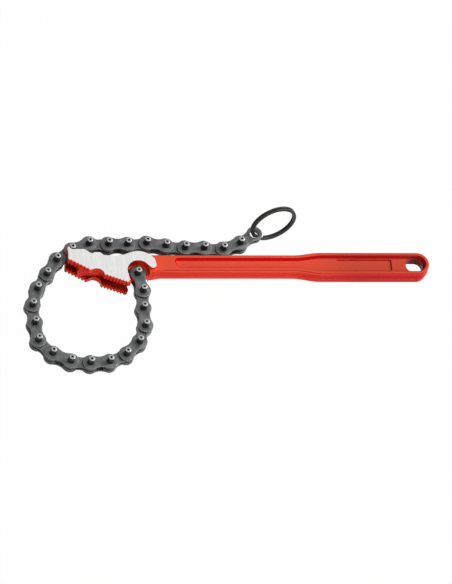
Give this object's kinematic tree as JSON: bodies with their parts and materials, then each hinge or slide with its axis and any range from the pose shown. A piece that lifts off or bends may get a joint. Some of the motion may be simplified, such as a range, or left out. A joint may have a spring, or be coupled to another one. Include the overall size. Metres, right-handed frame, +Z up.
{
  "type": "chain pipe wrench",
  "caption": "Chain pipe wrench: forged I-section handle with a toothed double-cheek head, a hinged link chain looped from the anchor to the nose seat, and a split pull ring.",
  "frame": {"origin": "a point on the lower cheek's ground face, 44 mm towards the nose from the anchor pin and 9 mm above it in plan", "axes": "+X along the handle towards the grip, +Y from the teeth towards the chain seat, +Z up, across the cheeks; the wrench lies on its side"},
  "size_m": [0.339, 0.1377, 0.0392],
  "materials": {
    "forging": "gloss",
    "plates": "satin",
    "pins": "satin",
    "ring": "satin"
  },
  "bodies": {
    "handle": {"handle_forging": "forging"},
    "link_01": {"link_01_pin_plate": "pins", "link_01_outer_plate": "plates"},
    "link_02": {"link_02_bush_plate": "plates", "link_02_inner_plate": "plates"},
    "link_03": {"link_03_pin_plate": "pins", "link_03_outer_plate": "plates"},
    "link_04": {"link_04_bush_plate": "plates", "link_04_inner_plate": "plates"},
    "link_05": {"link_05_pin_plate": "pins", "link_05_outer_plate": "plates"},
    "link_06": {"link_06_bush_plate": "plates", "link_06_inner_plate": "plates"},
    "link_07": {"link_07_pin_plate": "pins", "link_07_outer_plate": "plates"},
    "link_08": {"link_08_bush_plate": "plates", "link_08_inner_plate": "plates"},
    "link_09": {"link_09_pin_plate": "pins", "link_09_outer_plate": "plates"},
    "link_10": {"link_10_bush_plate": "plates", "link_10_inner_plate": "plates"},
    "link_11": {"link_11_pin_plate": "pins", "link_11_outer_plate": "plates"},
    "link_12": {"link_12_bush_plate": "plates", "link_12_inner_plate": "plates"},
    "link_13": {"link_13_pin_plate": "pins", "link_13_outer_plate": "plates"},
    "link_14": {"link_14_bush_plate": "plates", "link_14_inner_plate": "plates"},
    "link_15": {"link_15_pin_plate": "pins", "link_15_outer_plate": "plates"},
    "link_16": {"link_16_bush_plate": "plates", "link_16_inner_plate": "plates"},
    "link_17": {"link_17_pin_plate": "pins", "link_17_outer_plate": "plates"},
    "link_18": {"link_18_bush_plate": "plates", "link_18_inner_plate": "plates"},
    "link_19": {"link_19_pin_plate": "pins", "link_19_outer_plate": "plates"},
    "link_20": {"link_20_bush_plate": "plates", "link_20_inner_plate": "plates"},
    "link_21": {"link_21_pin_plate": "pins", "link_21_outer_plate": "plates"},
    "link_22": {"link_22_bush_plate": "plates", "link_22_inner_plate": "plates"},
    "link_23": {"link_23_pin_plate": "pins", "link_23_outer_plate": "plates"},
    "link_24": {"link_24_bush_plate": "plates", "link_24_inner_plate": "plates"},
    "link_25": {"link_25_pin_plate": "pins", "link_25_outer_plate": "plates"},
    "link_26": {"link_26_bush_plate": "plates", "link_26_inner_plate": "plates"},
    "ring": {"split_ring": "ring"}
  },
  "joints": [
    {"name": "anchor_hinge", "type": "hinge", "parent": "handle", "child": "link_01", "pos_m": [0.044, -0.009, 0.0105], "axis": [0, 0, 1], "range_deg": [-36.2, 0]},
    {"name": "link_hinge_02", "type": "hinge", "parent": "link_01", "child": "link_02", "pos_m": [0.04703, -0.02458, 0.0105], "axis": [0, 0, 1], "range_deg": [0, 1]},
    {"name": "link_hinge_03", "type": "hinge", "parent": "link_02", "child": "link_03", "pos_m": [0.04592, -0.04042, 0.0105], "axis": [0, 0, 1], "range_deg": [0, 1]},
    {"name": "link_hinge_04", "type": "hinge", "parent": "link_03", "child": "link_04", "pos_m": [0.04592, -0.05629, 0.0105], "axis": [0, 0, 1], "range_deg": [0, 1]},
    {"name": "link_hinge_05", "type": "hinge", "parent": "link_04", "child": "link_05", "pos_m": [0.03972, -0.07091, 0.0105], "axis": [0, 0, 1], "range_deg": [0, 1]},
    {"name": "link_hinge_06", "type": "hinge", "parent": "link_05", "child": "link_06", "pos_m": [0.0283, -0.08194, 0.0105], "axis": [0, 0, 1], "range_deg": [0, 1]},
    {"name": "link_hinge_07", "type": "hinge", "parent": "link_06", "child": "link_07", "pos_m": [0.01391, -0.08864, 0.0105], "axis": [0, 0, 1], "range_deg": [0, 1]},
    {"name": "link_hinge_08", "type": "hinge", "parent": "link_07", "child": "link_08", "pos_m": [-0.00192, -0.08975, 0.0105], "axis": [0, 0, 1], "range_deg": [0, 1]},
    {"name": "link_hinge_09", "type": "hinge", "parent": "link_08", "child": "link_09", "pos_m": [-0.01771, -0.08809, 0.0105], "axis": [0, 0, 1], "range_deg": [0, 1]},
    {"name": "link_hinge_10", "type": "hinge", "parent": "link_09", "child": "link_10", "pos_m": [-0.03198, -0.08113, 0.0105], "axis": [0, 0, 1], "range_deg": [0, 1]},
    {"name": "link_hinge_11", "type": "hinge", "parent": "link_10", "child": "link_11", "pos_m": [-0.0426, -0.06934, 0.0105], "axis": [0, 0, 1], "range_deg": [0, 1]},
    {"name": "link_hinge_12", "type": "hinge", "parent": "link_11", "child": "link_12", "pos_m": [-0.04399, -0.05352, 0.0105], "axis": [0, 0, 1], "range_deg": [0, 1]},
    {"name": "link_hinge_13", "type": "hinge", "parent": "link_12", "child": "link_13", "pos_m": [-0.04454, -0.03766, 0.0105], "axis": [0, 0, 1], "range_deg": [0, 16.2]},
    {"name": "link_hinge_14", "type": "hinge", "parent": "link_13", "child": "link_14", "pos_m": [-0.03937, -0.02265, 0.0105], "axis": [0, 0, 1], "range_deg": [0, 20.2]},
    {"name": "link_hinge_15", "type": "hinge", "parent": "link_14", "child": "link_15", "pos_m": [-0.0305, -0.00948, 0.0105], "axis": [0, 0, 1], "range_deg": [0, 28.2]},
    {"name": "link_hinge_16", "type": "hinge", "parent": "link_15", "child": "link_16", "pos_m": [-0.02139, 0.00352, 0.0105], "axis": [0, 0, 1], "range_deg": [0, 40]},
    {"name": "link_hinge_17", "type": "hinge", "parent": "link_16", "child": "link_17", "pos_m": [-0.00839, 0.01262, 0.0105], "axis": [0, 0, 1], "range_deg": [0, 30]},
    {"name": "link_hinge_18", "type": "hinge", "parent": "link_17", "child": "link_18", "pos_m": [0.0064, 0.0184, 0.0105], "axis": [0, 0, 1], "range_deg": [0, 30]},
    {"name": "link_hinge_19", "type": "hinge", "parent": "link_18", "child": "link_19", "pos_m": [0.02227, 0.018, 0.0105], "axis": [0, 0, 1], "range_deg": [0, 30]},
    {"name": "link_hinge_20", "type": "hinge", "parent": "link_19", "child": "link_20", "pos_m": [0.03815, 0.0179, 0.0105], "axis": [0, 0, 1], "range_deg": [0, 30]},
    {"name": "link_hinge_21", "type": "hinge", "parent": "link_20", "child": "link_21", "pos_m": [0.05398, 0.019, 0.0105], "axis": [0, 0, 1], "range_deg": [0, 30]},
    {"name": "link_hinge_22", "type": "hinge", "parent": "link_21", "child": "link_22", "pos_m": [0.06968, 0.0166, 0.0105], "axis": [0, 0, 1], "range_deg": [0, 30]},
    {"name": "link_hinge_23", "type": "hinge", "parent": "link_22", "child": "link_23", "pos_m": [0.08545, 0.0148, 0.0105], "axis": [0, 0, 1], "range_deg": [0, 30]},
    {"name": "link_hinge_24", "type": "hinge", "parent": "link_23", "child": "link_24", "pos_m": [0.10132, 0.0145, 0.0105], "axis": [0, 0, 1], "range_deg": [0, 30]},
    {"name": "link_hinge_25", "type": "hinge", "parent": "link_24", "child": "link_25", "pos_m": [0.11718, 0.0138, 0.0105], "axis": [0, 0, 1], "range_deg": [-4, 30]},
    {"name": "link_hinge_26", "type": "hinge", "parent": "link_25", "child": "link_26", "pos_m": [0.13203, 0.0194, 0.0105], "axis": [0, 0, 1], "range_deg": [-6, 30]},
    {"name": "ring_swivel", "type": "hinge", "parent": "link_26", "child": "ring", "pos_m": [0.14497, 0.0286, 0.0105], "axis": [0, 0, 1], "range_deg": [-25, 60]}
  ],
  "couplings": [
    {"joint": "anchor_hinge", "follows": "link_hinge_16", "ratio": -0.9},
    {"joint": "link_hinge_02", "follows": "link_hinge_16", "ratio": 0.02},
    {"joint": "link_hinge_03", "follows": "link_hinge_16", "ratio": 0.02},
    {"joint": "link_hinge_04", "follows": "link_hinge_16", "ratio": 0.02},
    {"joint": "link_hinge_05", "follows": "link_hinge_16", "ratio": 0.02},
    {"joint": "link_hinge_06", "follows": "link_hinge_16", "ratio": 0.02},
    {"joint": "link_hinge_07", "follows": "link_hinge_16", "ratio": 0.02},
    {"joint": "link_hinge_08", "follows": "link_hinge_16", "ratio": 0.02},
    {"joint": "link_hinge_09", "follows": "link_hinge_16", "ratio": 0.02},
    {"joint": "link_hinge_10", "follows": "link_hinge_16", "ratio": 0.02},
    {"joint": "link_hinge_11", "follows": "link_hinge_16", "ratio": 0.02},
    {"joint": "link_hinge_12", "follows": "link_hinge_16", "ratio": 0.02},
    {"joint": "link_hinge_13", "follows": "link_hinge_16", "ratio": 0.4},
    {"joint": "link_hinge_14", "follows": "link_hinge_16", "ratio": 0.5},
    {"joint": "link_hinge_15", "follows": "link_hinge_16", "ratio": 0.7}
  ]
}
